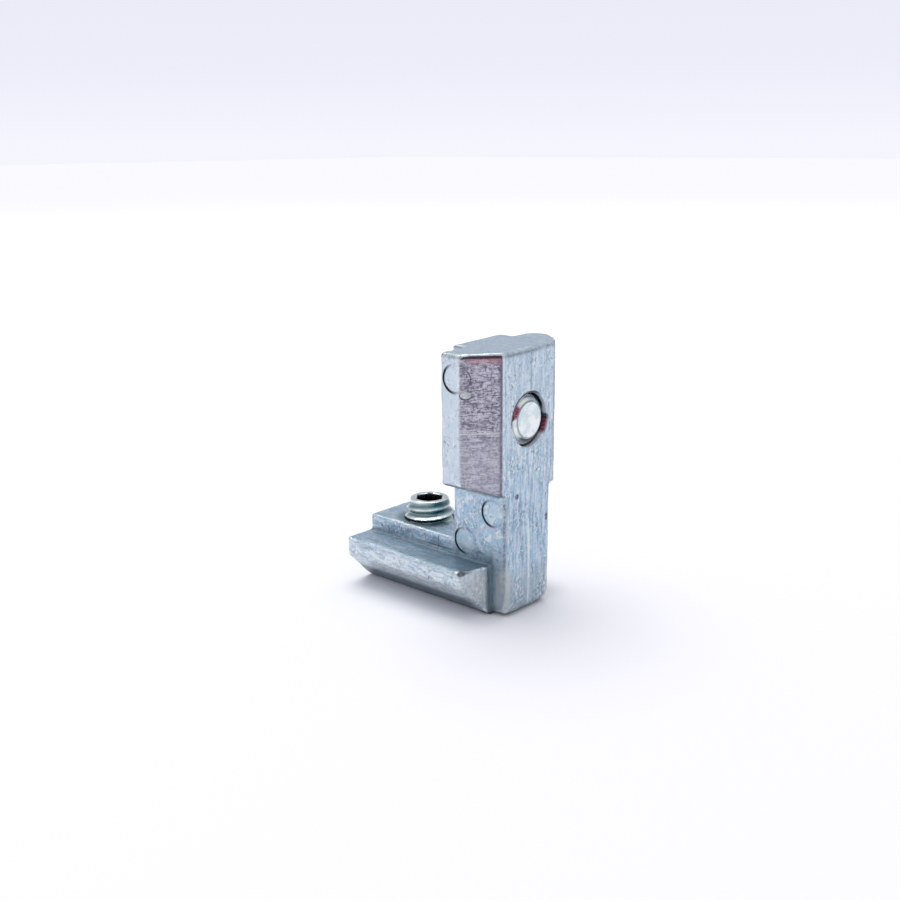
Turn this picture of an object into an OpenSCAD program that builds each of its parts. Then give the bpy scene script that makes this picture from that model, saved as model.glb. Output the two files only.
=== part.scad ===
// Inner corner connector for slotted aluminium profile: a die-cast L with a T section on each
// arm and a set screw through each rib. Millimetres, +Z up. The origin is on the underside,
// at the middle of the base arm's length and width.

/* [Arms] */
// Length of the base arm, from the outer face to its free end
base_length = 21.5; // [18:0.5:40]
// Height of the upright arm, from the underside to its free end
upright_height = 30; // [26:0.5:60]
// Width across the flanges of both arms
flange_width = 16; // [14:0.1:20]
// Depth of both flanges, from the outer face to the shoulder
flange_depth = 5.8; // [5:0.1:8]
// Width of the web, which forms the neck and both ribs
web_width = 7.9; // [7.4:0.1:9]
// Height of both ribs above the shoulders
rib_height = 1.95; // [1.2:0.05:4]

/* [Flange shape] */
// Side of the 45 degree chamfer under the base flange
base_chamfer = 3.9; // [2:0.1:4.5]
// Depth of the chamfer on the upright head, from the outer face
head_chamfer_depth = 3.3; // [2:0.1:4]
// Width of the chamfer on the upright head, from each outer edge
head_chamfer_width = 3.6; // [2:0.1:4]
// Setback of the base flange from the outer face, at the web
flange_setback = 2.2; // [1:0.1:5]
// Extra setback of the base flange at its outer edges, from mould draft
flange_draft = 1; // [0.2:0.1:2]
// Height of the head's lower edge above the underside, at the web
head_bottom = 14.1; // [12:0.1:18]
// Rise of the head's lower edge towards its outer edges, from mould draft
head_draft = 1.35; // [0.4:0.05:3]
// Setback of both free ends at their outer edges, from mould draft
end_draft = 0.1; // [0.05:0.05:1]

/* [Edge radii] */
// Radius along the long edges of the flanges
flange_edge_radius = 0.4; // [0.1:0.05:0.8]
// Radius of the base flange's corners at its free end, and of the head's lower corners
flange_corner_radius = 0.8; // [0.2:0.1:1.5]
// Radius along the outer edges of the neck
neck_edge_radius = 0.7; // [0.2:0.1:1.2]
// Radius along the long edges of the ribs
rib_edge_radius = 0.35; // [0.1:0.05:0.8]
// Radius of the outer corner, seen from the side
outer_corner_radius = 1.2; // [0.3:0.1:2]
// Radius of the free ends, seen from the side, and of the head's upper corners
profile_radius = 0.6; // [0.2:0.1:1.5]
// Radius of the inner corner between the two ribs
inner_corner_radius = 0.8; // [0.3:0.1:2]
// Radius along the bottom edges of the web, under the neck
foot_radius = 1.2; // [0.2:0.1:2]
// Radius of the fillet between a shoulder and the web
root_radius = 0.4; // [0.1:0.05:0.8]

/* [Set screws] */
// Thread diameter of both set screws
screw_diameter = 6; // [5:0.5:6]
// Thread pitch, which sets the chamfer at the socket end
thread_pitch = 1; // [0.5:0.05:1.25]
// Length of both set screws
screw_length = 8; // [6:0.5:12]
// Side of the 45 degree chamfer round the flat point
point_chamfer = 0.95; // [0.4:0.05:1.2]
// Width across the flats of the hexagon socket
socket_size = 3; // [1.5:0.5:3]
// Depth of the hexagon socket
socket_depth = 3.5; // [2:0.1:4]
// Turn of the base screw's socket about its axis, in degrees
base_socket_turn = 10; // [0:1:59]
// Turn of the upright screw's socket about its axis, in degrees
upright_socket_turn = 25; // [0:1:59]
// Distance of the base screw's axis from the free end of the base arm
base_screw_inset = 6.35; // [5:0.05:10]
// Distance of the upright screw's axis from the free end of the upright arm
upright_screw_inset = 7.95; // [5:0.05:12]
// Height of the base screw's socket end above its rib
base_screw_proud = 2.45; // [0.5:0.05:4]
// Depth of the upright screw's point below the outer face
upright_screw_recess = 0.05; // [0:0.05:3]

/* [Screw holes] */
// Radial clearance between a screw and its hole
screw_clearance = 0.05; // [0.02:0.01:0.1]
// Side of the 45 degree countersink at both mouths of a hole
hole_countersink = 0.1; // [0.05:0.05:0.5]

/* [Casting marks] */
// Diameter of the ejector marks on the near side
mark_diameter = 3; // [1.5:0.1:3.4]
// Depth of the ejector marks
mark_depth = 0.2; // [0.1:0.05:0.5]
// Distance of the upper neck mark from the outer face
neck_mark_setback = 1.95; // [1.8:0.05:4]
// Drop of the upper neck mark below the head's lower edge
neck_mark_drop = 2.2; // [1.8:0.05:4]
// Distance of the lower neck mark from the outer face
lower_mark_setback = 5.95; // [4:0.05:8]
// Height of the lower neck mark above the shoulder
lower_mark_rise = 2.1; // [1.8:0.05:4]
// Distance of the head mark behind the edge of the head's chamfer
head_mark_setback = 0.5; // [0:0.05:1]
// Drop of the head mark below the free end of the upright arm
head_mark_drop = 2.7; // [2:0.05:6]
// Diameter of the small pip on the head's chamfer
pip_diameter = 1; // [0.6:0.1:1.6]
// Height of the small pip above the chamfer
pip_height = 0.1; // [0.05:0.05:0.3]
// Distance of the pip in front of the edge of the head's chamfer
pip_advance = 0.6; // [0.5:0.05:2]
// Drop of the pip below the head mark
pip_drop = 1.7; // [1.5:0.05:4]

/* [Hidden] */
$fn = 64;
overlap = 1;
zinc = [0.70, 0.75, 0.80];
steel = [0.78, 0.80, 0.82];

arm_depth = flange_depth + rib_height;
half_flange = flange_width / 2;
half_web = web_width / 2;
half_base_sole = half_flange - base_chamfer;
half_head_face = half_flange - head_chamfer_width;
outer_face_x = base_length / 2;

screw_radius = screw_diameter / 2;
thread_depth = 0.6134 * thread_pitch;
hole_radius = screw_radius + screw_clearance;
base_screw_x = base_screw_inset - base_length;
base_screw_point_z = arm_depth + base_screw_proud - screw_length;
upright_screw_z = upright_height - upright_screw_inset;

neck_mark_x = -neck_mark_setback;
neck_mark_z = head_bottom - neck_mark_drop;
lower_mark_x = -lower_mark_setback;
lower_mark_z = flange_depth + lower_mark_rise;
head_mark_x = -head_chamfer_depth - head_mark_setback;
head_mark_z = upright_height - head_mark_drop;
pip_x = -head_chamfer_depth + pip_advance;
pip_z = head_mark_z - pip_drop;

// Geometry of a rounded corner: the directions to its two neighbours, and what follows from them
function toward(from, to) = (to - from) / norm(to - from);
function before(points, i) = points[(i + len(points) - 1) % len(points)];
function after(points, i) = points[(i + 1) % len(points)];
function half_angle(points, i) =
    acos(toward(points[i], before(points, i)) * toward(points[i], after(points, i))) / 2;
function is_convex(points, i) =
    cross(points[i] - before(points, i), after(points, i) - points[i]) > 0;
function arc_centre(points, radius, i) =
    let (bisector = toward(points[i], before(points, i)) + toward(points[i], after(points, i)))
    points[i] + bisector / norm(bisector) * radius / sin(half_angle(points, i));
function tangent_points(points, radius, i) =
    let (reach = radius / tan(half_angle(points, i)))
    radius == 0 ? [points[i]]
        : [points[i] + toward(points[i], before(points, i)) * reach,
           points[i] + toward(points[i], after(points, i)) * reach];

// Outline whose corners are true arcs, from anticlockwise points and one radius per point
module soft_outline(points, radii) {
    corners = [0 : len(points) - 1];
    difference() {
        union() {
            polygon([for (i = corners) each tangent_points(points, radii[i], i)]);
            for (i = corners)
                if (radii[i] > 0 && is_convex(points, i))
                    translate(arc_centre(points, radii[i], i)) circle(r = radii[i]);
        }
        for (i = corners)
            if (radii[i] > 0 && !is_convex(points, i))
                translate(arc_centre(points, radii[i], i)) circle(r = radii[i]);
    }
}

// Extrusions of an outline drawn in (Y, Z), (X, Z) or (X, Y)
module along_x(from, to) {
    translate([from, 0, 0]) rotate([90, 0, 90]) linear_extrude(to - from) children();
}
module along_y(from, to) {
    translate([0, to, 0]) rotate([90, 0, 0]) linear_extrude(to - from) children();
}
module along_z(from, to) {
    translate([0, 0, from]) linear_extrude(to - from) children();
}

// Moves what is drawn from the outer corner to the origin under the middle of the base arm
module place() {
    translate([outer_face_x, 0, 0]) children();
}

// Side view of the L-shaped web, as (X, Z)
module web_outline() {
    soft_outline(
        [[0, 0], [0, upright_height], [-arm_depth, upright_height],
         [-arm_depth, arm_depth], [-base_length, arm_depth], [-base_length, 0]],
        [outer_corner_radius, profile_radius, profile_radius, 0, profile_radius, profile_radius]);
}

// Front view of the web, with its bottom edges rounded, as (Y, Z)
module web_front() {
    soft_outline(
        [[-half_web, 0], [half_web, 0], [half_web, upright_height], [-half_web, upright_height]],
        [foot_radius, foot_radius, rib_edge_radius, rib_edge_radius]);
}

// Section of the base arm's web, as (Y, Z)
module base_web_section() {
    soft_outline(
        [[-half_web, 0], [half_web, 0], [half_web, arm_depth], [-half_web, arm_depth]],
        [0, 0, rib_edge_radius, rib_edge_radius]);
}

// Section of the upright arm's web, as (X, Y)
module upright_web_section() {
    soft_outline(
        [[0, -half_web], [0, half_web], [-arm_depth, half_web], [-arm_depth, -half_web]],
        [neck_edge_radius, neck_edge_radius, rib_edge_radius, rib_edge_radius]);
}

// Plan of the base rib, with rounded corners at its free end, as (X, Y)
module base_rib_plan() {
    soft_outline(
        [[-base_length, -half_web], [overlap, -half_web], [overlap, half_web], [-base_length, half_web]],
        [flange_corner_radius, 0, 0, flange_corner_radius]);
}

module web() {
    intersection() {
        along_y(-half_web, half_web) web_outline();
        along_x(-base_length, 0) web_front();
        union() {
            intersection() {
                along_x(-base_length, -arm_depth / 2) base_web_section();
                along_z(0, arm_depth) base_rib_plan();
            }
            along_z(0, upright_height) upright_web_section();
        }
    }
}

// Section of the base flange, as (Y, Z)
module base_flange_section() {
    soft_outline(
        [[-half_base_sole, 0], [half_base_sole, 0], [half_flange, base_chamfer],
         [half_flange, flange_depth], [-half_flange, flange_depth], [-half_flange, base_chamfer]],
        [for (corner = [1 : 6]) flange_edge_radius]);
}

// Plan of the base flange, as (X, Y)
module base_flange_plan() {
    free_end = -base_length;
    corner_end = -flange_setback;
    soft_outline(
        [[free_end + end_draft, -half_flange], [corner_end - flange_draft, -half_flange],
         [corner_end, -half_web], [corner_end, half_web],
         [corner_end - flange_draft, half_flange], [free_end + end_draft, half_flange],
         [free_end, half_web], [free_end, -half_web]],
        [flange_corner_radius, flange_edge_radius, 0, 0,
         flange_edge_radius, flange_corner_radius, 0, 0]);
}

// Side view of the base flange, with its free end's edges rounded, as (X, Z)
module base_flange_side() {
    soft_outline(
        [[-base_length, 0], [0, 0], [0, flange_depth], [-base_length, flange_depth]],
        [profile_radius, 0, 0, flange_edge_radius]);
}

module base_flange() {
    intersection() {
        along_x(-base_length, -flange_setback) base_flange_section();
        along_z(0, flange_depth) base_flange_plan();
        along_y(-half_flange, half_flange) base_flange_side();
    }
}

// Section of the upright head, as (X, Y)
module head_section() {
    soft_outline(
        [[0, -half_head_face], [0, half_head_face], [-head_chamfer_depth, half_flange],
         [-flange_depth, half_flange], [-flange_depth, -half_flange], [-head_chamfer_depth, -half_flange]],
        [for (corner = [1 : 6]) flange_edge_radius]);
}

// Front view of the upright head, with its drafted lower edge, as (Y, Z)
module head_front() {
    lower_side = head_bottom + head_draft;
    upper_side = upright_height - end_draft;
    soft_outline(
        [[-half_flange, lower_side], [-half_web, head_bottom], [half_web, head_bottom],
         [half_flange, lower_side], [half_flange, upper_side],
         [half_web, upright_height], [-half_web, upright_height], [-half_flange, upper_side]],
        [flange_corner_radius, 0, 0, flange_corner_radius,
         profile_radius, 0, 0, profile_radius]);
}

// Side view of the upright head, with its free end's edges rounded, as (X, Z)
module head_side() {
    soft_outline(
        [[0, head_bottom], [0, upright_height],
         [-flange_depth, upright_height], [-flange_depth, head_bottom]],
        [0, profile_radius, flange_edge_radius, 0]);
}

module head() {
    intersection() {
        along_z(head_bottom, upright_height) head_section();
        along_x(-flange_depth, 0) head_front();
        along_y(-half_flange, half_flange) head_side();
    }
}

// Section of a fillet in the corner between two faces, sunk into both, with that corner at the origin
module fillet_section(radius) {
    difference() {
        translate([-overlap, -overlap]) square(radius + overlap);
        translate([radius, radius]) circle(r = radius);
    }
}

// Fillets along both sides of the web, on the base shoulder and on the head's shoulder
module root_fillets() {
    for (side = [0, 1])
        mirror([0, side, 0]) {
            along_x(flange_corner_radius - base_length, -flange_setback - flange_draft)
                translate([half_web, flange_depth]) fillet_section(root_radius);
            along_z(head_bottom + head_draft, upright_height - profile_radius)
                translate([-flange_depth, half_web]) mirror([1, 0]) fillet_section(root_radius);
        }
}

// Fillet in the inner corner, between the flat tops of the two ribs
module inner_fillet() {
    flat = half_web - rib_edge_radius;
    along_y(-flat, flat)
        translate([-arm_depth, arm_depth]) mirror([1, 0]) fillet_section(inner_corner_radius);
}

// Round hole through an arm, drawn along +Z from one face to the other, with both mouths countersunk
module screw_hole() {
    mouth_radius = hole_radius + hole_countersink;
    translate([0, 0, -overlap]) cylinder(r = hole_radius, h = arm_depth + 2 * overlap);
    translate([0, 0, -overlap])
        cylinder(r1 = mouth_radius + overlap, r2 = hole_radius, h = hole_countersink + overlap);
    translate([0, 0, arm_depth - hole_countersink])
        cylinder(r1 = hole_radius, r2 = mouth_radius + overlap, h = hole_countersink + overlap);
}

module screw_holes() {
    translate([base_screw_x, 0, 0]) screw_hole();
    translate([-arm_depth, 0, upright_screw_z]) rotate([0, 90, 0]) screw_hole();
}

// Pin along Y, from its tip to outside the near face
module near_pin(diameter, x, tip_y, z) {
    translate([x, tip_y, z]) rotate([90, 0, 0])
        cylinder(d = diameter, h = half_flange + tip_y + overlap);
}

// Shallow ejector marks on the near side; the one on the head follows the edge that it crosses
module ejector_marks() {
    web_tip = mark_depth - half_web;
    near_pin(mark_diameter, neck_mark_x, web_tip, neck_mark_z);
    near_pin(mark_diameter, lower_mark_x, web_tip, lower_mark_z);
    difference() {
        near_pin(mark_diameter, head_mark_x, -half_web, head_mark_z);
        translate([0, mark_depth, 0]) along_z(head_bottom, upright_height) head_section();
    }
}

// Small raised pip on the near chamfer of the head
module chamfer_pip() {
    intersection() {
        near_pin(pip_diameter, pip_x, -half_web, pip_z);
        translate([0, -pip_height, 0]) along_z(head_bottom, upright_height) head_section();
    }
}

module connector_body() {
    color(zinc) place() {
        difference() {
            union() {
                web();
                base_flange();
                head();
                root_fillets();
                inner_fillet();
                chamfer_pip();
            }
            screw_holes();
            ejector_marks();
        }
    }
}

// Set screw along +Z with its flat point at the origin and its hexagon socket at the top
module set_screw(socket_turn) {
    core_radius = screw_radius - thread_depth;
    across_corners = socket_size / cos(30);
    difference() {
        rotate_extrude()
            polygon([[0, 0], [screw_radius - point_chamfer, 0], [screw_radius, point_chamfer],
                     [screw_radius, screw_length - thread_depth], [core_radius, screw_length],
                     [0, screw_length]]);
        translate([0, 0, screw_length - socket_depth]) rotate([0, 0, socket_turn])
            cylinder(d = across_corners, h = socket_depth + overlap, $fn = 6);
    }
}

module base_set_screw() {
    color(steel) place()
        translate([base_screw_x, 0, base_screw_point_z]) set_screw(base_socket_turn);
}

module upright_set_screw() {
    color(steel) place()
        translate([-upright_screw_recess, 0, upright_screw_z]) rotate([0, -90, 0])
            set_screw(upright_socket_turn);
}

connector_body();
base_set_screw();
upright_set_screw();
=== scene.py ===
"""Inner corner connector: the cast zinc body and its two threaded set screws, on a pale studio floor."""

import math

import bmesh
import bpy
import numpy as np
from mathutils import Matrix, Vector, noise


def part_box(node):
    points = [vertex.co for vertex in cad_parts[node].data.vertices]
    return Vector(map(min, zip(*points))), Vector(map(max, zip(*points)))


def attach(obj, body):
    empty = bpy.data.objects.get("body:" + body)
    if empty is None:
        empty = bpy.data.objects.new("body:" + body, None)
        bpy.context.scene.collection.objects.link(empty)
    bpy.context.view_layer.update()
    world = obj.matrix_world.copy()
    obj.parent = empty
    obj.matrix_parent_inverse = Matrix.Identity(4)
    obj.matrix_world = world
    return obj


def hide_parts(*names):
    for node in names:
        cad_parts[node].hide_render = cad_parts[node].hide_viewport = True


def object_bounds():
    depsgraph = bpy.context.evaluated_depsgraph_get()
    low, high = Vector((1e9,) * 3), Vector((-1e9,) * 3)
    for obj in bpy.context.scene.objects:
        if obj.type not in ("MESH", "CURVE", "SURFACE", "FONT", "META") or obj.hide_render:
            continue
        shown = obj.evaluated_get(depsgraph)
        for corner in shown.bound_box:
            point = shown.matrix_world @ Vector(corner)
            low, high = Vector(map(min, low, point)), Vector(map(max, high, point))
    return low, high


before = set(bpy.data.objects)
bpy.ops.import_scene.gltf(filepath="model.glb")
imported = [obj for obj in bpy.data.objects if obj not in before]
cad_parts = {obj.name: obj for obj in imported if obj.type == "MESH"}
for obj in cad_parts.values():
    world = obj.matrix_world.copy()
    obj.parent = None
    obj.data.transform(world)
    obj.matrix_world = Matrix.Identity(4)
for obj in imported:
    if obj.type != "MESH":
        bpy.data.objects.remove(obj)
cad_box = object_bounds()

# Lengths are in millimetres in the part's frame: the near side is -Y, and the outer face looks to +X
MM = 0.001
OUTER_FACE_X = cad_box[1].x / MM
TOP_Z = cad_box[1].z / MM
# From the outer face to the top of the rib, on both arms
ARM_DEPTH = 7.75
NECK_HALF_WIDTH = 3.95
HEAD_HALF_WIDTH = 8.0
HEAD_LOWEST_Z = 14.0
# The head's chamfers: where they start beside the middle, their width and depth, and their normal in X and Y
CHAMFER_START = 4.4
CHAMFER_WIDTH = 3.6
CHAMFER_DEPTH = 3.3
CHAMFER_NORMAL = (0.737, 0.676)
# Axes of the screw holes, as (X, Y) and as (Y, Z)
BASE_HOLE = (-4.4, 0)
UPRIGHT_HOLE = (0, 22.05)
# Ejector marks on the near side, with their centres as (X, Z), and the pip beside the last one
MARKS = ((8.8, 11.9), (4.8, 7.9), (6.95, 27.3))
MARK_RADIUS = 1.5
MARK_LINE = 0.2
PIP = (8.05, 25.6)
PIP_RADIUS = 0.45
PIP_LINE = 0.09

# The skin of the casting: its mesh size, and the heights and scales of its waves
VOXEL = 0.17
WAVES = ((0.05, 0.5), (0.024, 1.5), (0.008, 3.6))

# M6 set screws and the threads of their holes
PITCH = 1.0
CREST_RADIUS = 2.94
ROOT_RADIUS = 2.36
POINT_RADIUS = 2.04
RIM_RADIUS = 2.22
SOCKET_WIDTH = 3.0
SOCKET_DEPTH = 3.4
# Least radius of a hole, just clear of the crests, and how far its thread is cut outwards
CLEAR_RADIUS = 2.99
HOLE_THREAD_DEPTH = 0.35
# Where the two threads start, in turns
BASE_THREAD = 0.85
UPRIGHT_THREAD = 0.6

# The studio, in metres and watts
FLOOR_HALF = 3.0
FLOOR_DROP = 0.00002
# Light from the world by height of its direction, from level to straight up
SKY = ((0.0, (0.91, 0.92, 0.99)), (0.06, (0.84, 0.85, 0.95)), (0.13, (0.82, 0.83, 0.93)),
       (0.24, (0.46, 0.47, 0.52)), (0.45, (0.55, 0.56, 0.60)), (0.7, (0.86, 0.86, 0.88)),
       (1.0, (0.86, 0.86, 0.88)))
# Strength of the world for rays that only light the part
SKY_LIGHT = 0.85
# Width of the photograph's frame in pixels, and of the camera's sensor
FRAME_PIXELS = 900
SENSOR_WIDTH = 36


# Meshes

def link(obj):
    bpy.context.scene.collection.objects.link(obj)
    return obj


def edge_array(mesh):
    edges = np.empty(len(mesh.edges) * 2, np.int32)
    mesh.edges.foreach_get("vertices", edges)
    return edges.reshape(-1, 2)


def coordinates(mesh):
    co = np.empty(len(mesh.vertices) * 3, np.float32)
    mesh.vertices.foreach_get("co", co)
    return co.reshape(-1, 3).astype(float)


def put_coordinates(mesh, co):
    mesh.vertices.foreach_set("co", co.astype(np.float32).ravel())
    mesh.update()


def normals(mesh):
    vectors = np.empty(len(mesh.vertices) * 3, np.float32)
    mesh.vertex_normals.foreach_get("vector", vectors)
    return vectors.reshape(-1, 3).astype(float)


def add_attribute(mesh, name, values):
    mesh.attributes.new(name, "FLOAT", "POINT").data.foreach_set("value", values.astype(np.float32))


def relaxed(co, edges, steps):
    """Laplacian smoothing, one round for each step."""
    count = np.bincount(edges.ravel(), minlength=len(co))[:, None]
    a, b = edges.T
    for step in steps:
        total = np.stack([np.bincount(a, co[b, k], len(co)) + np.bincount(b, co[a, k], len(co))
                          for k in range(3)], axis=1)
        co = co + step * (total / count - co)
    return co


def ramp(value, low, high):
    """0 at low and 1 at high, smooth between."""
    t = np.clip((value - low) / (high - low), 0, 1)
    return t * t * (3 - 2 * t)


def bell(value, width):
    """1 at 0, falling off on both sides."""
    return np.exp(-(value / width) ** 2)


def even_skin(node, voxel):
    """Mesh of a CAD node in millimetres, as one even skin."""
    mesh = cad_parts[node].data.copy()
    mesh.transform(Matrix.Scale(1 / MM, 4))
    bm = bmesh.new()
    bm.from_mesh(mesh)
    bmesh.ops.remove_doubles(bm, verts=bm.verts, dist=1e-4)
    bm.to_mesh(mesh)
    bm.free()
    source = link(bpy.data.objects.new("skin_source", mesh))
    remesh = source.modifiers.new("skin", "REMESH")
    remesh.mode = "VOXEL"
    remesh.voxel_size = voxel
    depsgraph = bpy.context.evaluated_depsgraph_get()
    skin = bpy.data.meshes.new_from_object(source.evaluated_get(depsgraph))
    bpy.data.objects.remove(source)
    bpy.data.meshes.remove(mesh)
    return skin


def about_axis(co, node, across):
    """Place of a screw's axis, and each vertex's offset and distance from it."""
    low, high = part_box(node)
    centre = np.array([(low[i] + high[i]) / 2 / MM for i in across])
    offset = co[:, across] - centre
    return centre, offset, np.hypot(*offset.T)


def tighten_hole(co, node, across):
    """Draws the rounded mouths of a screw hole in to the screw, which leaves a thin dark gap."""
    centre, offset, radius = about_axis(co, node, across)
    inner, lip, outer = 2.8, 3.5, 4.2
    near = (radius > inner) & (radius < outer)
    pull = (0.1 * ramp(radius, outer, 3.3) + 0.3 * bell(radius - lip, 0.25)) * near
    tight = np.where(near, np.maximum(radius - pull, CLEAR_RADIUS), radius)
    co[:, across] = centre + offset * (tight / np.maximum(radius, 0.1))[:, None]


def thread_form(distance, theta, start):
    """Phase of a right-hand thread, and the height of the screw's tooth there, from 0 to 1."""
    phase = (distance / PITCH - theta / (2 * math.pi) + start) % 1
    return phase, np.clip(np.abs(2 * phase - 1) * 1.2 - 0.14, 0, 1) ** 1.25


def cut_thread(co, node, across, distance, inset, start):
    """Cuts a thread outwards into the wall of a screw hole, and returns its depth, from 0 to 1."""
    _, offset, radius = about_axis(co, node, across)
    _, tooth = thread_form(distance, np.arctan2(offset[:, 1], offset[:, 0]), start)
    depth = tooth * ramp(inset, 0.75, 1.1) * ramp(radius, 3.3, 3.15)
    co[:, across] += offset * (HOLE_THREAD_DEPTH * depth / np.maximum(radius, 0.1))[:, None]
    return depth


def chamfer_place(x, y):
    """Height over the plane of the head's chamfer, and distance along it from its front edge."""
    forward, aside = x - OUTER_FACE_X, np.abs(y) - CHAMFER_START
    ahead, outwards = CHAMFER_NORMAL
    return forward * ahead + aside * outwards, aside * ahead - forward * outwards


def flatten_marks(co):
    """Lifts the floors of the ejector marks on the near side, which are only just sunk."""
    x, y, z = co.T
    for mark_x, mark_z in MARKS:
        within = (np.hypot(x - mark_x, z - mark_z) < MARK_RADIUS + 0.12) & (y < -3)
        chamfer = -CHAMFER_START - (OUTER_FACE_X - x) * CHAMFER_WIDTH / CHAMFER_DEPTH
        face = np.where(z < HEAD_LOWEST_Z, -NECK_HALF_WIDTH, np.maximum(-HEAD_HALF_WIDTH, chamfer))
        sunk = np.clip(y - face, 0, 0.3) * within
        co[:, 1] -= 0.65 * sunk


def soften(co, edges):
    """Rounds the flange's edges and end, the top's far edge and the lower corners of the neck."""
    x, y, z = co.T
    aside = np.abs(y)
    flange = ramp(aside, 6.9, 7.3) * ramp(z, 2.6, 3.2) * (z < 8) * ramp(x, -10.0, -8.8)
    end = ramp(x, 5.6, 6.6) * ramp(aside, 4.5, 5.3) * ramp(z, 5.2, 4.2) * ramp(z, 0.3, 1.0)
    crest = ramp(y, 6.0, 7.0) * ramp(z, TOP_Z - 2, TOP_Z - 1)
    soft = np.maximum.reduce([flange, end, crest])
    co += soft[:, None] * (relaxed(co, edges, [0.5] * 30) - co)
    low = np.where(y < 0, ramp(z, 3.5, 1.5), ramp(z, 1.6, 0.8))
    foot = ramp(x, 8.8, 9.6) * ramp(np.abs(y), 2.4, 3.2) * low
    co[:, :2] += foot[:, None] * (relaxed(co, edges, [0.5] * 45) - co)[:, :2]


def wave(point):
    """Slight unevenness of the cast skin."""
    point = Vector(point)
    return sum(height * noise.noise(point * scale) for height, scale in WAVES)


def cast_body():
    """The casting: soft edges, a slightly wavy skin, a parting line and a striated chamfer."""
    mesh = even_skin("connector_body", VOXEL)
    edges = edge_array(mesh)
    smooth = relaxed(coordinates(mesh), edges, [0.5, -0.52] * 2)
    flatten_marks(smooth)
    soften(smooth, edges)
    put_coordinates(mesh, smooth)
    n = normals(mesh)

    x, y, z = smooth.T
    aside = np.abs(y)
    over, along = chamfer_place(x, y)
    on_chamfer = (ramp(over, -0.4, -0.25) * ramp(along, 0.05, 0.25) * ramp(along, 5.1, 4.3)
                  * ramp(z, HEAD_LOWEST_Z, HEAD_LOWEST_Z + 0.3))
    panel = on_chamfer * ramp(z, TOP_Z - 0.2, TOP_Z - 0.35)
    outward = np.array([wave(p) for p in smooth]) * (1 - 0.6 * on_chamfer) - 0.05 * panel
    co = smooth + n * outward[:, None]
    co = np.clip(co, np.array(cad_box[0]) / MM, np.array(cad_box[1]) / MM)
    co[:, 2] += 0.2 * ramp(z, TOP_Z - 1.5, TOP_Z - 0.2) * ramp(y, -5.0, 7.0)
    tighten_hole(co, "base_set_screw", (0, 1))
    tighten_hole(co, "upright_set_screw", (1, 2))
    base_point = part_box("base_set_screw")[0].z / MM
    upright_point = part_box("upright_set_screw")[1].x / MM
    base_inset = np.minimum(z, ARM_DEPTH - z)
    upright_inset = np.minimum(OUTER_FACE_X - x, x - OUTER_FACE_X + ARM_DEPTH)
    thread = np.maximum(
        cut_thread(co, "base_set_screw", (0, 1), z - base_point, base_inset, BASE_THREAD),
        cut_thread(co, "upright_set_screw", (2, 1), upright_point - x, upright_inset, UPRIGHT_THREAD))
    seam = bell(y + 0.05 * np.sin(z * 0.7), 0.13) * ramp(n[:, 0], 0.8, 0.95)
    co[:, 0] += 0.035 * seam * (x > OUTER_FACE_X - 0.5)
    put_coordinates(mesh, co * MM)

    # Masks for the material
    mouth = ramp(np.hypot(y - UPRIGHT_HOLE[0], z - UPRIGHT_HOLE[1]), 3.35, 3.1) * (x > 7)
    # Concave places, which the material darkens with painted shade, and convex edges, which it lightens for
    # wear and a painted highlight
    for name, rounds, full in (("hollow", 6, 0.05), ("hollow_wide", 60, 0.25)):
        lift = np.einsum("ij,ij->i", relaxed(co, edges, [0.5] * rounds) - co, n)
        add_attribute(mesh, name, np.clip(lift / full, -1, 1) * (1 - mouth))
    add_attribute(mesh, "mouth", mouth)
    add_attribute(mesh, "thread", thread)
    add_attribute(mesh, "chamfer", panel)
    add_attribute(mesh, "front_edge", panel * bell(along - 0.25, 0.2))
    add_attribute(mesh, "seam", seam * ramp(z, 14, 10))
    # The nook between the flange's end and the neck, which the material fills with painted shade
    nook = ramp(x, 8.1, 8.5) * ramp(x, 9.2, 8.6) * ramp(aside, 4.7, 4.2) * ramp(z, 8.5, 5.5)
    add_attribute(mesh, "nook", nook)
    turn = bell(n[:, 0] - 0.5, 0.28) * (n[:, 1] < 0) * (x > 9.5) * ramp(aside, 2.9, 3.2)
    add_attribute(mesh, "neck_edge", turn * ramp(z, 13.9, 13.4) * ramp(z, 1.0, 2.5))
    crown = bell(z - TOP_Z + 0.5, 0.16) * ramp(x, OUTER_FACE_X - 0.6, OUTER_FACE_X - 0.3)
    add_attribute(mesh, "crown", crown * (aside < 4.5) * (0.25 + 0.75 * ramp(y, 2.5, 0.5)))
    # Along the head's lower edge, where the material paints a line of shade
    head_edge_z = 14.1 + (aside - NECK_HALF_WIDTH) / 3.0
    add_attribute(mesh, "lower_edge", bell(z - head_edge_z - 0.12, 0.12) * ramp(aside, 4.0, 4.2))

    mesh.shade_smooth()
    body = link(bpy.data.objects.new("cast_body", mesh))
    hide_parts("connector_body")
    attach(body, "connector")
    return body


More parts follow.
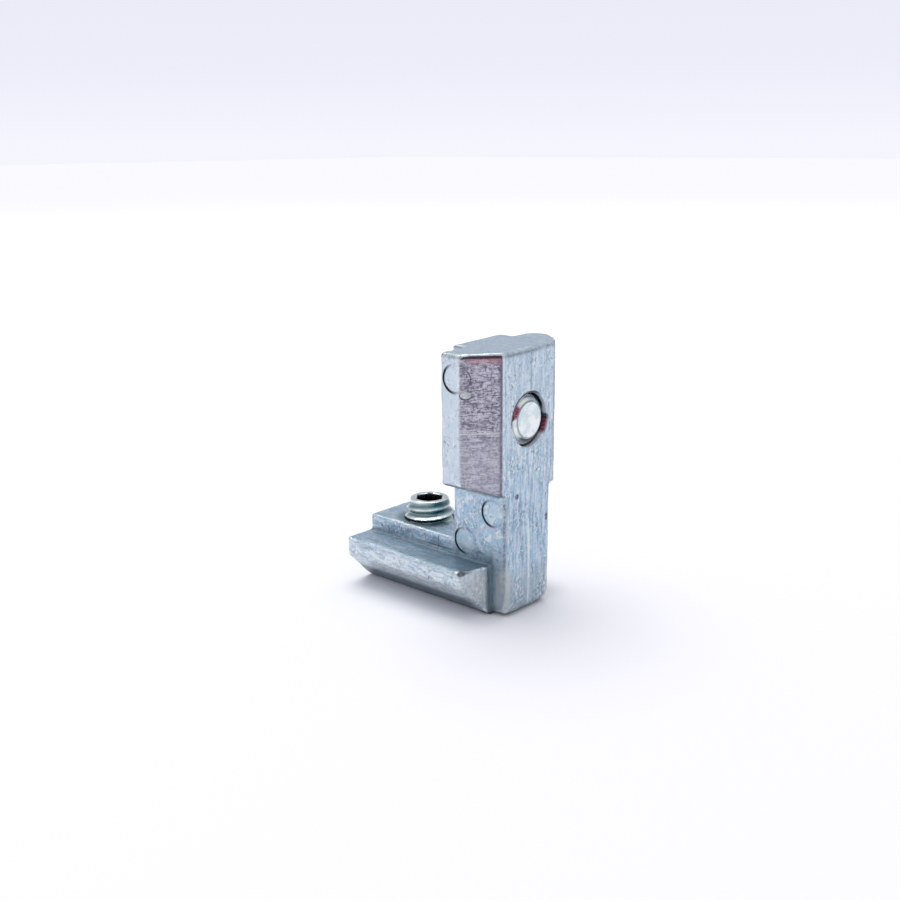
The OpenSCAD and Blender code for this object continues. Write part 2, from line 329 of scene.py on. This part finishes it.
def set_screw_mesh(name, length, socket_turn, thread_start):
    """Set screw along +Z in millimetres, with its flat point at the origin and its socket at the top."""
    around, per_pitch = 120, 18
    theta = np.arange(around) * 2 * math.pi / around
    rows = []
    grooves = []

    def ring(radius, z):
        r = np.broadcast_to(radius, theta.shape)
        h = np.broadcast_to(z, theta.shape)
        rows.append(np.stack([r * np.cos(theta), r * np.sin(theta), h], axis=1))

    for radius in (0.6, 1.3, POINT_RADIUS - 0.16):
        ring(radius, 0.0)
    ring(POINT_RADIUS - 0.04, 0.015)
    point_rows = len(rows)
    steps = int(length / PITCH * per_pitch)
    for i in range(1, steps):
        z = length * i / steps
        phase, tooth = thread_form(z, theta, thread_start)
        below_rim = length - z + PITCH * np.where(phase < 0.5, phase, phase - 1)
        tip = np.clip(RIM_RADIUS + 0.42 * below_rim, RIM_RADIUS, CREST_RADIUS)
        groove_depth = tip - ROOT_RADIUS + 0.1 * (CREST_RADIUS - tip)
        thread = tip - groove_depth * (1 - tooth) * ramp(z, 0.3, 1.5)
        cone = min(POINT_RADIUS + 1.3 * z, RIM_RADIUS + 0.8 * (length - z))
        ring(np.minimum(thread, cone), z)
        grooves.append(np.where(thread < cone, 1 - tooth, 0) * ramp(z, 0.8, 1.3))
    corner = (theta - math.radians(socket_turn)) % (math.pi / 3) - math.pi / 6
    hexagon = SOCKET_WIDTH / 2 / np.cos(corner)
    ring(RIM_RADIUS - 0.03, length - 0.02)
    ring(RIM_RADIUS - 0.12, length)
    ring(np.maximum(hexagon, 1.62) + 0.03, length)
    for down in (0.08, 0.25, 0.4, 0.6, 0.8, 1.2, SOCKET_DEPTH - 0.1):
        ring(hexagon, length - down)
    floor = length - SOCKET_DEPTH
    ring(hexagon - 0.08, floor)
    ring(1.2, floor - 0.05)
    ring(0.4, floor - 0.5)

    total = len(rows)
    verts = np.concatenate(rows + [[[0, 0, 0]], [[0, 0, floor - 0.7]]])
    faces = []
    for i in range(total - 1):
        for j in range(around):
            k = (j + 1) % around
            row, following = i * around, (i + 1) * around
            faces.append((row + j, row + k, following + k, following + j))
    last = (total - 1) * around
    for j in range(around):
        k = (j + 1) % around
        faces.append((total * around, k, j))
        faces.append((total * around + 1, last + j, last + k))
    mesh = bpy.data.meshes.new(name)
    mesh.from_pydata(verts.tolist(), [], faces)

    # Masks for the material
    x, y, z = verts.T
    radius = np.hypot(x, y)
    in_socket = (radius < 1.85) * (z > 1)
    before = np.zeros(point_rows * around)
    after = np.zeros(len(verts) - (point_rows + len(grooves)) * around)
    # Thread grooves and the socket's walls and depth, which the material darkens with painted shade
    add_attribute(mesh, "groove", np.concatenate([before, *grooves, after]))
    add_attribute(mesh, "wall", in_socket * (z < length - 0.05))
    add_attribute(mesh, "inside", ramp(length - z, 0.28, 0.7) * in_socket)
    turned = sum(bell(z - at, 0.04) for at in (0.03, 0.36, 0.64))
    add_attribute(mesh, "turned", turned * (radius > POINT_RADIUS - 0.06) * (z < 0.9))
    mesh.shade_smooth()
    mesh.set_sharp_from_angle(angle=math.radians(38))
    return mesh


def set_screw(name, node, body, matrix, socket_turn, thread_start):
    low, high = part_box(node)
    length = max(high[i] - low[i] for i in range(3)) / MM
    mesh = set_screw_mesh(name, length, socket_turn, thread_start)
    mesh.transform(matrix @ Matrix.Scale(MM, 4))
    screw = link(bpy.data.objects.new(name, mesh))
    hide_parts(node)
    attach(screw, body)
    return screw


# Materials

class Nodes:
    """Short calls that add nodes to a material or a world and join their inputs."""

    def __init__(self, owner):
        owner.use_nodes = True
        self.tree = owner.node_tree

    def put(self, socket, value):
        if isinstance(value, bpy.types.NodeSocket):
            self.tree.links.new(value, socket)
        else:
            socket.default_value = value

    def add(self, kind, settings=None, **inputs):
        node = self.tree.nodes.new(kind)
        for key, value in (settings or {}).items():
            setattr(node, key, value)
        for key, value in inputs.items():
            self.put(node.inputs[key], value)
        return node

    def math(self, operation, first, *others):
        """One value from several, taken in order, or from one by itself."""
        for other in others or (0.0,):
            node = self.add("ShaderNodeMath", {"operation": operation})
            self.put(node.inputs[0], first)
            self.put(node.inputs[1], other)
            first = node.outputs["Value"]
        return first

    def times(self, first, *others):
        return self.math("MULTIPLY", first, *others) if others else first

    def off(self, value, centre):
        """Distance of a value from a centre."""
        return self.math("ABSOLUTE", self.math("SUBTRACT", value, centre))

    def span(self, value, low, high, out_low=0.0, out_high=1.0):
        """Smooth step between two values."""
        node = self.add("ShaderNodeMapRange", {"interpolation_type": "SMOOTHSTEP"})
        for key, item in (("Value", value), ("From Min", low), ("From Max", high),
                          ("To Min", out_low), ("To Max", out_high)):
            self.put(node.inputs[key], item)
        return node.outputs["Result"]


class Surface(Nodes):
    """A metal that is painted in layers, by place in millimetres, by facing and by masks from 0 to 1."""

    def __init__(self, name):
        self.material = bpy.data.materials.new(name)
        super().__init__(self.material)
        self.shader = self.tree.nodes["Principled BSDF"]
        self.place = self.millimetres()
        self.axes = self.add("ShaderNodeSeparateXYZ", Vector=self.place).outputs
        self.x, self.y, self.z = (self.axes[axis] for axis in "XYZ")
        normal = self.add("ShaderNodeNewGeometry").outputs["Normal"]
        facing = self.add("ShaderNodeSeparateXYZ", Vector=normal).outputs
        self.facing_x, self.facing_z = facing["X"], facing["Z"]
        self.skin = None

    def millimetres(self, stretch=(1, 1, 1)):
        place = self.add("ShaderNodeTexCoord").outputs["Object"]
        scale = tuple(s / MM for s in stretch)
        return self.add("ShaderNodeMapping", Vector=place, Scale=scale).outputs["Vector"]

    def noise(self, scale, detail, roughness, distortion=0.0, stretch=None):
        place = self.millimetres(stretch) if stretch else self.place
        node = self.add("ShaderNodeTexNoise", Vector=place, Scale=scale, Detail=detail,
                        Roughness=roughness, Distortion=distortion)
        return node.outputs["Fac"]

    def attribute(self, name):
        return self.add("ShaderNodeAttribute", {"attribute_name": name}).outputs["Fac"]

    def bump(self, height, strength, distance, normal=None):
        node = self.add("ShaderNodeBump", Height=height, Strength=strength, Distance=distance)
        if normal is not None:
            self.put(node.inputs["Normal"], normal)
        return node.outputs["Normal"]

    def over(self, under, colour, *masks):
        """A colour laid over another, as far as all of its masks let it."""
        node = self.add("ShaderNodeMix", {"data_type": "RGBA"})
        self.put(node.inputs[0], self.times(*masks))
        for socket, item in ((6, under), (7, colour)):
            self.put(node.inputs[socket], (*item, 1) if isinstance(item, tuple) else item)
        return node.outputs[2]

    def paint(self, colour, *masks):
        self.skin = self.over(self.skin, colour, *masks)

    def from_centre(self, plane, centre):
        """Distances from a centre along the two axes of a plane, and the square of the whole distance."""
        across, above = (self.math("SUBTRACT", self.axes[axis], at) for axis, at in zip(plane, centre))
        return across, above, self.math("ADD", self.times(across, across), self.times(above, above))

    def slant(self, across, above, by_across, by_above=1.0):
        """Distance from a centre in a slanting direction."""
        return self.math("ADD", self.times(across, by_across), self.times(above, by_above))

    def circle(self, plane, centre, radius, width):
        """Fine circle as a mask, and the distances from its centre along both axes."""
        across, above, square = self.from_centre(plane, centre)
        off = self.off(self.math("SQRT", square), radius)
        return self.span(off, width, width * 0.3), across, above

    def spot(self, plane, centre, radius):
        """Small round spot, as a mask that fades to its edge, for a stain, mark, chip or painted reflection.
        """
        _, _, square = self.from_centre(plane, centre)
        return self.span(square, radius * radius, 0.2 * radius * radius)


class Casting(Surface):
    """The zinc casting: each method paints one part of it over what is there."""

    def __init__(self):
        super().__init__("zinc_casting")
        self.aside = self.math("ABSOLUTE", self.y)
        self.chamfer = self.attribute("chamfer")
        self.hollow = self.attribute("hollow")
        self.outer = self.span(self.x, OUTER_FACE_X - 0.6, OUTER_FACE_X - 0.3)
        self.near_side = self.span(self.y, -3.2, -3.6)
        self.clouds = self.noise(0.4, 4.0, 0.62, 0.4)
        self.patches = self.noise(1.2, 3.0, 0.6, 0.5)
        self.grain = self.noise(3.7, 3.0, 0.7, 0.4, (1, 1, 0.65))
        self.fine = self.noise(9.0, 2.0, 0.6)
        # Drawn out upwards, and level on the chamfers
        self.streaks = self.noise(1.0, 4.0, 0.65, 0.3, (2.4, 2.4, 0.3))
        self.scratches = self.noise(1.0, 3.0, 0.7, 1.0, (0.75, 0.75, 4.2))

    def patchy(self, low, high, least, most):
        """Breaks up a line, stain or painted mark by the grain."""
        return self.span(self.grain, low, high, least, most)

    def tones(self):
        """Blue and grey clouds all over, with streaks on the outer face and lines on the base arm."""
        tints = self.noise(0.75, 2.0, 0.5, 0.6)
        lines = self.noise(1.0, 4.0, 0.65, 0.3, (0.35, 2.2, 2.6))
        self.skin = self.over((0.28, 0.42, 0.55), (0.42, 0.555, 0.68), self.span(self.clouds, 0.40, 0.60))
        self.paint((0.33, 0.52, 0.72), self.span(self.patches, 0.51, 0.63, 0.0, 0.75))
        self.paint((0.56, 0.55, 0.61), self.span(tints, 0.53, 0.63, 0.0, 0.45))
        self.paint((0.38, 0.56, 0.60), self.span(tints, 0.47, 0.37, 0.0, 0.45))
        mottle = self.times(self.span(self.facing_x, 0.4, 0.8, 0.85, 0.35),
                            self.span(self.z, 6.5, 9.0, 0.5, 1.0))
        self.paint((0.70, 0.78, 0.84), self.span(self.patches, 0.47, 0.37), mottle)
        drawn = self.span(self.facing_x, 0.4, 0.8, 0.15, 0.85)
        self.paint((0.67, 0.77, 0.83), self.span(self.streaks, 0.51, 0.60, 0.0, 0.8), drawn)
        self.paint((0.165, 0.275, 0.40), self.span(self.streaks, 0.48, 0.38, 0.0, 0.75), drawn)
        arm = self.times(self.span(self.z, 8.2, 7.5), self.span(self.facing_x, 0.7, 0.4))
        self.paint((0.64, 0.73, 0.80), self.span(lines, 0.51, 0.59, 0.0, 0.6), arm)
        self.paint((0.17, 0.26, 0.33), self.span(lines, 0.47, 0.39, 0.0, 0.65), arm)

    def painted_light_and_grain(self):
        """Painted light and shade: paler upwards, darker and bluer low on the outer face and a paler near
        flank on the head; greyer at the foot; then the light and dark grain; and painted shade on the tops.
        """
        # Painted reflection: paler upwards
        self.paint((0.64, 0.71, 0.77), self.span(self.z, 9.0, 25.0, 0.0, 0.4))
        self.paint((0.405, 0.45, 0.475), self.span(self.z, 5.6, 3.6, 0.0, 0.6))
        # Painted shade: darker and bluer low on the outer face
        self.paint((0.17, 0.31, 0.42), self.span(self.facing_x, 0.5, 0.8),
                   self.span(self.z, 16.0, 11.0, 0.0, 0.2))
        # Painted highlight on the head's near flank, with less dark grain there
        flank = self.times(self.span(self.y, -7.0, -7.8), self.span(self.z, 14.0, 16.0))
        self.paint((0.70, 0.76, 0.805), flank, 0.5)
        strength = self.times(self.span(self.patches, 0.38, 0.60, 1.0, 0.5),
                              self.span(self.clouds, 0.40, 0.60, 1.2, 0.35))
        self.paint((0.76, 0.82, 0.86), self.patchy(0.52, 0.61, 0.0, 0.85), strength)
        self.paint((0.15, 0.20, 0.25), self.patchy(0.45, 0.36, 0.0, 0.85),
                   self.math("SUBTRACT", strength, self.times(flank, 0.12)))
        self.paint((0.80, 0.84, 0.87), self.span(self.fine, 0.54, 0.68, 0.0, 0.3))
        # Painted shade on the faces that look up
        self.paint((0.22, 0.31, 0.40), self.span(self.facing_z, 0.55, 0.9, 0.0, 0.45))

    def head_chamfer(self):
        """Purple, partly its ground finish and partly a painted reflection, scratched level, with one pale
        line, paler towards the bottom, and a painted red reflection under a painted shadow line at the top.
        """
        # The purple is partly the ground finish and partly a painted reflection
        rough = self.over((0.20, 0.185, 0.245), (0.62, 0.60, 0.69), self.span(self.scratches, 0.42, 0.60))
        rough = self.over(rough, (0.74, 0.72, 0.79), self.patchy(0.53, 0.62, 0.0, 0.55))
        rough = self.over(rough, (0.11, 0.08, 0.125), self.patchy(0.46, 0.36, 0.0, 0.75))
        rough = self.over(rough, (0.58, 0.58, 0.67), self.span(self.z, 23.0, 19.0, 0.0, 0.4))
        rough = self.over(rough, (0.72, 0.71, 0.76),
                          self.span(self.off(self.z, 21.41), 0.13, 0.05, 0.0, 0.75))
        # Painted red reflection below the top edge
        rough = self.over(rough, (0.52, 0.20, 0.25), self.span(self.z, TOP_Z - 1.5, TOP_Z - 0.6),
                          self.span(self.x, 7.8, 8.6, 0.1, 0.6))
        # Painted shadow line under the top edge's lip
        rough = self.over(rough, (0.025, 0.006, 0.012),
                          self.span(self.z, TOP_Z - 0.66, TOP_Z - 0.5, 0.0, 0.95))
        ragged = self.times(self.math("SUBTRACT", self.grain, 0.5), 1.6)
        self.paint(rough, self.span(self.math("ADD", self.chamfer, ragged), 0.25, 0.75, 0.0, 0.95))
        self.paint((0.10, 0.09, 0.14), self.attribute("front_edge"),
                   self.span(self.scratches, 0.42, 0.56, 0.3, 0.95))

    def base_arm(self):
        """Painted shade in the hollows; the flange's bright flecked side, partly a painted reflection, its
        warm end and its foot darkened with painted shade; and painted shade on its top and round the base
        screw.
        """
        # Painted shade in concave places, narrow and wide
        self.paint((0.06, 0.08, 0.11), self.span(self.hollow, 0.3, 0.9, 0.0, 0.6))
        self.paint((0.10, 0.15, 0.20), self.span(self.attribute("hollow_wide"), 0.15, 0.9, 0.0, 0.5))
        flange = self.times(self.span(self.aside, 4.3, 4.8), self.span(self.z, 5.7, 5.5))
        flecks = self.noise(1.4, 4.0, 0.7, 0.6, (0.8, 2.2, 2.2))
        # The flange's side: bright flecks, and a painted reflection of the lit floor
        self.paint((0.80, 0.865, 0.89), flange, self.span(flecks, 0.42, 0.58, 0.05, 0.75),
                   self.span(self.x, 8.0, 7.0, 0.5, 1.0), self.span(self.z, 1.7, 2.6))
        self.paint((0.60, 0.59, 0.55), flange, self.span(self.facing_x, 0.6, 0.9, 0.0, 0.35))
        # Painted shade at the flange's foot
        self.paint((0.048, 0.09, 0.13), flange, self.span(self.z, 2.4, 1.3),
                   self.span(self.x, 8.0, 6.0, 0.0, 0.65))
        # Painted shade on the flange's top, and a painted shadow of the base screw on the rib's top
        top = self.span(self.facing_z, 0.6, 0.9)
        self.paint((0.08, 0.15, 0.20), top, self.span(self.z, 6.6, 6.2),
                   self.span(self.x, -6.0, 4.0, 0.05, 0.5))
        _, _, from_screw = self.from_centre("XY", BASE_HOLE)
        self.paint((0.05, 0.09, 0.11), top, self.span(from_screw, 20.0, 9.0, 0.0, 0.7),
                   self.span(self.y, 0.5, -1.5))

    def edges(self):
        """Edges bright from wear and a painted highlight, dark lines along the neck, the head and the crown,
        painted shade in the nook and along the head's lower edge, and a painted contact shadow along the
        foot.
        """
        rib_edge = self.times(self.span(self.z, 6.9, 7.2), self.span(self.z, 8.6, 8.2),
                              self.span(self.x, 3.0, 2.0, 0.0, 0.45))
        # Wear and a painted highlight on the convex edges, less on the rib's edge
        self.wear_and_highlight = self.times(self.span(self.hollow, -0.25, -0.8, 0.0, 0.9),
                               self.span(self.patches, 0.38, 0.52), self.math("SUBTRACT", 1.0, rib_edge))
        self.paint((0.80, 0.84, 0.87), self.wear_and_highlight)
        self.paint((0.12, 0.15, 0.19), self.attribute("neck_edge"), self.patchy(0.42, 0.52, 0.15, 0.85))
        self.paint((0.24, 0.19, 0.23), self.span(self.y, 3.95, 4.3),
                   self.span(self.x, OUTER_FACE_X - 0.5, OUTER_FACE_X - 0.2),
                   self.patchy(0.42, 0.54, 0.1, 0.7))
        self.paint((0.34, 0.39, 0.40), self.span(self.z, TOP_Z - 0.6, TOP_Z - 0.2),
                   self.span(self.hollow, -0.1, -0.4), self.span(self.x, 8.2, 7.2), 0.75)
        self.paint((0.22, 0.25, 0.27), self.span(self.x, 5.4, 5.1), self.span(self.aside, 7.0, 7.4),
                   self.span(self.z, 14.0, 15.0, 0.0, 0.6))
        self.paint((0.60, 0.61, 0.60), self.span(self.x, 8.9, 9.5), self.span(self.aside, 2.9, 3.3),
                   self.span(self.aside, 4.5, 4.2), self.span(self.z, 7.0, 5.0, 0.0, 0.5))
        # Painted shade in the nook
        self.paint((0.10, 0.125, 0.14), self.attribute("nook"), 0.65)
        # Painted contact shadow along the foot
        self.paint((0.035, 0.03, 0.05), self.span(self.z, 0.6, 0.15, 0.0, 0.85))
        self.paint((0.19, 0.24, 0.28), self.attribute("crown"), self.patchy(0.42, 0.52, 0.35, 0.9))
        self.paint((0.78, 0.83, 0.87), self.attribute("seam"), self.span(self.streaks, 0.40, 0.52, 0.3, 0.8))
        # Painted shade along the head's lower edge
        self.paint((0.10, 0.10, 0.14), self.attribute("lower_edge"), self.patchy(0.40, 0.55, 0.45, 0.9))

    def near_marks(self):
        """Cuts in the rib's side, painted shade low on the neck, the ejector marks and the pip with painted
        shade on one side, and a chip.
        """
        upright_cut = self.times(self.span(self.off(self.x, 0.68), 0.1, 0.03), self.span(self.z, 5.7, 6.1))
        level_cut = self.times(self.span(self.off(self.z, 6.3), 0.12, 0.03),
                               self.span(self.x, -2.0, -0.5), self.span(self.x, 4.0, 2.0))
        rib_side = self.times(self.span(self.y, -3.7, -3.85), self.span(self.z, 7.7, 7.4),
                              self.span(self.aside, 4.3, 4.1))
        self.paint((0.03, 0.05, 0.08), self.math("MAXIMUM", upright_cut, level_cut), rib_side,
                   self.patchy(0.40, 0.52, 0.35, 0.8))
        # Painted shade low on the neck, over the flange
        self.paint((0.08, 0.15, 0.19), self.span(self.aside, 3.7, 3.85), self.span(self.aside, 4.4, 4.2),
                   self.span(self.x, 2.0, 4.5), self.span(self.z, 8.6, 6.0, 0.0, 0.45))

        # Each mark is a pale disc, with a dark line round its left, where its wall is in shade
        off_chamfer = self.span(self.chamfer, 0.5, 0.1, 0.0, 0.2)
        rings = []
        for centre in MARKS:
            self.paint((0.60, 0.77, 0.80), self.spot("XZ", centre, MARK_RADIUS), off_chamfer, self.near_side)
            line, across, above = self.circle("XZ", centre, MARK_RADIUS, MARK_LINE)
            left = self.slant(across, above, -0.95, -0.3)
            rings.append(self.times(line, self.span(left, -0.3 * MARK_RADIUS, 0.8 * MARK_RADIUS, 0.12, 1.0)))
        self.paint((0.004, 0.006, 0.009), self.math("MAXIMUM", *rings), self.near_side)
        line, across, _ = self.circle("XZ", MARKS[-1], 1.38, 0.09)
        self.paint((0.05, 0.03, 0.045), line, self.span(across, 0.7, 1.2), self.chamfer,
                   self.patchy(0.42, 0.55, 0.0, 0.75))
        self.paint((0.72, 0.76, 0.77), self.spot("XZ", PIP, PIP_RADIUS), self.near_side, 0.6)
        # Painted shade under the pip
        line, across, above = self.circle("XZ", PIP, PIP_RADIUS, PIP_LINE)
        below = self.span(self.slant(across, above, 0.4), 0.25, -0.25, 0.15, 0.8)
        self.paint((0.04, 0.04, 0.05), line, below, self.near_side)

        # The chip in the flange's near corner runs on along the edge of its end
        self.paint((0.04, 0.05, 0.055), self.spot("XZ", (7.4, 5.72), 0.55), self.span(self.y, -7.1, -7.4),
                   self.patchy(0.38, 0.5, 0.5, 0.95))
        self.paint((0.10, 0.12, 0.13), self.span(self.off(self.z, 5.7), 0.3, 0.12),
                   self.span(self.y, -5.8, -7.4, 0.0, 0.85), self.span(self.x, 7.2, 7.5))

    def outer_face(self):
        """Small dark stains, and the parting line near the top."""
        stains = self.math("MAXIMUM", self.spot("YZ", (-2.12, 13.81), 0.42),
                           self.spot("YZ", (3.11, 10.5), 0.33), self.spot("YZ", (3.13, 10.05), 0.28))
        self.paint((0.05, 0.06, 0.08), stains, self.outer, self.patchy(0.40, 0.52, 0.35, 0.9))
        self.paint((0.17, 0.25, 0.32), self.span(self.off(self.y, 0.19), 0.22, 0.04),
                   self.span(self.z, 29.6, 28.4), self.span(self.z, 25.2, 25.6), self.outer,
                   self.span(self.streaks, 0.40, 0.55, 0.3, 0.7))

    def holes(self):
        """Threads darkened with painted shade; the upright hole's mouth, with painted light below, arcs and a
        line of painted shade, and a painted red reflection at its rim.
        """
        mouth = self.attribute("mouth")
        line, across, above = self.circle("YZ", UPRIGHT_HOLE, 3.1, 0.16)
        upper = self.slant(across, above, 0.5)
        # Painted light on the lower part of the mouth
        self.paint((0.90, 0.93, 0.95), mouth, self.span(upper, 1.6, -0.4, 0.2, 0.75))
        # Painted shade deep in the threads
        self.paint((0.02, 0.025, 0.03), self.span(self.attribute("thread"), 0.4, 0.85, 0.0, 0.9))
        # Arcs of painted shade in the gap between the screw and the wall, above and below
        at_rim = self.times(mouth, self.span(self.x, 9.6, 9.9))
        arcs = self.math("MAXIMUM", self.span(upper, 1.9, 2.7, 0.0, 0.95),
                         self.span(upper, -0.8, -1.6, 0.0, 0.2))
        self.paint((0.008, 0.01, 0.012), at_rim, self.span(self.x, 10.38, 10.2), arcs)
        # A line of painted shade along the rim's upper left
        self.paint((0.012, 0.018, 0.022), line, self.span(self.slant(across, above, -0.6), 0.9, 2.4),
                   self.outer, 0.9)
        # A painted red reflection at the rim, on the mouth and round it, with a darker spot in it
        broad, _, _ = self.circle("YZ", UPRIGHT_HOLE, 3.0, 0.45)
        at_rim = self.math("MAXIMUM", at_rim, self.times(broad, self.outer, 0.8))
        self.paint((0.21, 0.003, 0.045), self.spot("YZ", (2.8, 21.0), 1.2), at_rim,
                   self.patchy(0.36, 0.54, 0.7, 0.95))
        self.paint((0.02, 0.004, 0.01), self.spot("YZ", (2.95, 21.95), 0.42), at_rim, 0.85)

    def metal(self):
        inputs = self.shader.inputs
        self.put(inputs["Base Color"], self.skin)
        inputs["Metallic"].default_value = 0.8
        gloss = self.math("SUBTRACT", self.patchy(0.35, 0.65, 0.34, 0.48), self.times(self.wear_and_highlight, 0.12))
        self.put(inputs["Roughness"], self.math("ADD", gloss, self.times(self.chamfer, 0.06)))
        normal = self.bump(self.grain, 0.5, 0.00008)
        normal = self.bump(self.fine, 0.3, 0.00003, normal)
        normal = self.bump(self.times(self.scratches, self.chamfer), 0.8, 0.0002, normal)
        self.put(inputs["Normal"], self.bump(self.streaks, 0.3, 0.00012, normal))


def zinc_casting():
    casting = Casting()
    casting.tones()
    casting.painted_light_and_grain()
    casting.head_chamfer()
    casting.base_arm()
    casting.edges()
    casting.near_marks()
    casting.outer_face()
    casting.holes()
    casting.metal()
    return casting.material


def plated_steel():
    """The screws: grooves and sockets darkened with painted shade, turned lines at the point, and an arc of
    painted shade and a painted red reflection on one cone.
    """
    n = Surface("plated_steel")
    groove = n.attribute("groove")
    clouds = n.noise(0.9, 3.0, 0.6, 0.3)
    grain = n.noise(6.0, 3.0, 0.65)
    n.skin = n.over((0.62, 0.70, 0.72), (0.82, 0.85, 0.85), n.span(clouds, 0.38, 0.62))
    n.paint((0.48, 0.56, 0.60), n.span(grain, 0.53, 0.68, 0.0, 0.35))
    # Painted shade in the thread grooves, darker still where they face +X
    n.paint((0.12, 0.22, 0.23), n.span(groove, 0.15, 0.8, 0.0, 0.85))
    n.paint((0.02, 0.10, 0.10), groove, n.span(n.facing_x, 0.5, 0.9, 0.0, 0.7))
    # Painted shade in the socket: grey walls, black deeper in
    n.paint((0.42, 0.45, 0.46), n.attribute("wall"), 0.8)
    n.paint((0.10, 0.13, 0.15), n.attribute("turned"), 0.8)
    n.paint((0.006, 0.007, 0.008), n.attribute("inside"))
    # An arc of painted shade low on the upright screw's cone
    on_cone = n.times(n.span(n.x, 9.8, 10.0), n.span(n.x, 10.68, 10.6, 0.0, 0.96))
    arc, across, above = n.circle("YZ", UPRIGHT_HOLE, 2.22, 0.3)
    lower = n.span(n.slant(across, above, -0.25), -1.0, -1.7, 0.0, 0.92)
    n.paint((0.012, 0.018, 0.022), arc, lower, on_cone)
    # A painted red reflection on the same cone, with a darker spot in it
    n.paint((0.29, 0.003, 0.07), n.spot("YZ", (-2.25, 23.25), 1.0), on_cone,
            n.span(grain, 0.36, 0.54, 0.65, 1.0))
    n.paint((0.04, 0.004, 0.016), n.spot("YZ", (-2.62, 22.6), 0.45), on_cone)
    inputs = n.shader.inputs
    n.put(inputs["Base Color"], n.skin)
    inputs["Metallic"].default_value = 1.0
    n.put(inputs["Roughness"], n.span(grain, 0.35, 0.65, 0.18, 0.32))
    n.put(inputs["Normal"], n.bump(grain, 0.2, 0.00003))
    return n.material


# Stage

def seen_by_eye(n):
    """1 for rays that show a surface: camera, mirror and glass rays."""
    path = n.add("ShaderNodeLightPath").outputs
    return n.math("MAXIMUM", path["Is Camera Ray"], path["Is Glossy Ray"], path["Is Transmission Ray"])


def pale_floor():
    """Paper that fades to white away from the part and keeps its shadow."""
    mesh = bpy.data.meshes.new("floor")
    half = FLOOR_HALF
    mesh.from_pydata([(-half, -half, 0), (half, -half, 0), (half, half, 0), (-half, half, 0)], [],
                     [(0, 1, 2, 3)])
    floor = link(bpy.data.objects.new("floor", mesh))
    floor.location.z = -FLOOR_DROP
    material = bpy.data.materials.new("floor_paper")
    n = Nodes(material)
    inputs = n.tree.nodes["Principled BSDF"].inputs
    inputs["Base Color"].default_value = (0.93, 0.93, 0.97, 1)
    inputs["Roughness"].default_value = 0.9
    inputs["Specular IOR Level"].default_value = 0.0
    inputs["Emission Color"].default_value = (0.93, 0.93, 1.0, 1)
    place = n.add("ShaderNodeTexCoord").outputs["Object"]
    reach = n.add("ShaderNodeVectorMath", {"operation": "LENGTH"}, Vector=place).outputs["Value"]
    lift = n.times(seen_by_eye(n), n.span(reach, 0.03, 0.4, 0.04, 0.38))
    n.put(inputs["Emission Strength"], lift)
    mesh.materials.append(material)


def studio_world():
    world = bpy.data.worlds.new("studio")
    n = Nodes(world)
    direction = n.add("ShaderNodeTexCoord").outputs["Generated"]
    height = n.add("ShaderNodeSeparateXYZ", Vector=direction).outputs["Z"]
    fade = n.add("ShaderNodeValToRGB", Fac=height)
    stops = fade.color_ramp.elements
    for stop, (position, shade) in zip(stops, (SKY[0], SKY[-1])):
        stop.position, stop.color = position, (*shade, 1)
    for position, shade in SKY[1:-1]:
        stops.new(position).color = (*shade, 1)
    inputs = n.tree.nodes["Background"].inputs
    n.put(inputs["Color"], fade.outputs["Color"])
    n.put(inputs["Strength"], n.span(seen_by_eye(n), 0.0, 1.0, SKY_LIGHT, 1.0))
    bpy.context.scene.world = world


def lamp(name, place, target, size, power, tint):
    light = bpy.data.lights.new(name, "AREA")
    light.shape = "DISK"
    light.size = size
    light.energy = power
    light.color = tint
    obj = link(bpy.data.objects.new(name, light))
    obj.location = place
    obj.rotation_euler = (Vector(target) - Vector(place)).to_track_quat("-Z", "Y").to_euler()


def camera():
    """The photograph's viewpoint, from a fit to its edges and corners."""
    azimuth, elevation, roll = (math.radians(v) for v in (42.397, 15.201, -0.503))
    distance, across, height, focal_pixels = 123.469, -8.676, 18.75, 1132.44
    back = Vector((math.sin(azimuth) * math.cos(elevation), -math.cos(azimuth) * math.cos(elevation),
                   math.sin(elevation)))
    target = Vector((OUTER_FACE_X + across * math.cos(azimuth), across * math.sin(azimuth), height))
    right = (-back).cross(Vector((0, 0, 1))).normalized()
    up = back.cross(right)
    right, up = (math.cos(roll) * right + math.sin(roll) * up,
                 math.cos(roll) * up - math.sin(roll) * right)
    data = bpy.data.cameras.new("camera")
    data.sensor_width = SENSOR_WIDTH
    data.lens = focal_pixels / FRAME_PIXELS * SENSOR_WIDTH
    data.clip_start = 0.01
    obj = link(bpy.data.objects.new("camera", data))
    obj.matrix_world = Matrix((right, up, back)).transposed().to_4x4()
    obj.location = (target + distance * back) * MM
    bpy.context.scene.camera = obj


# The part

zinc = zinc_casting()
steel = plated_steel()
body = cast_body()
base_low, base_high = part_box("base_set_screw")
base_place = Matrix.Translation(((base_low.x + base_high.x) / 2, 0, base_low.z))
base_screw = set_screw("base_screw_threaded", "base_set_screw", "base_screw", base_place, 10, BASE_THREAD)
upright_low, upright_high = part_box("upright_set_screw")
upright_place = (Matrix.Translation((upright_high.x, 0, (upright_low.z + upright_high.z) / 2))
                 @ Matrix.Rotation(-math.pi / 2, 4, "Y"))
upright_screw = set_screw("upright_screw_threaded", "upright_set_screw", "upright_screw", upright_place,
                          25, UPRIGHT_THREAD)
for piece, material in ((body, zinc), (base_screw, steel), (upright_screw, steel)):
    piece.data.materials.clear()
    piece.data.materials.append(material)

# The studio

pale_floor()
studio_world()
lamp("key", (-0.14, 0.05, 0.50), (0, 0, 0.01), 0.45, 1.35, (1.0, 0.99, 0.98))
camera()
bpy.context.scene.view_settings.view_transform = "Standard"
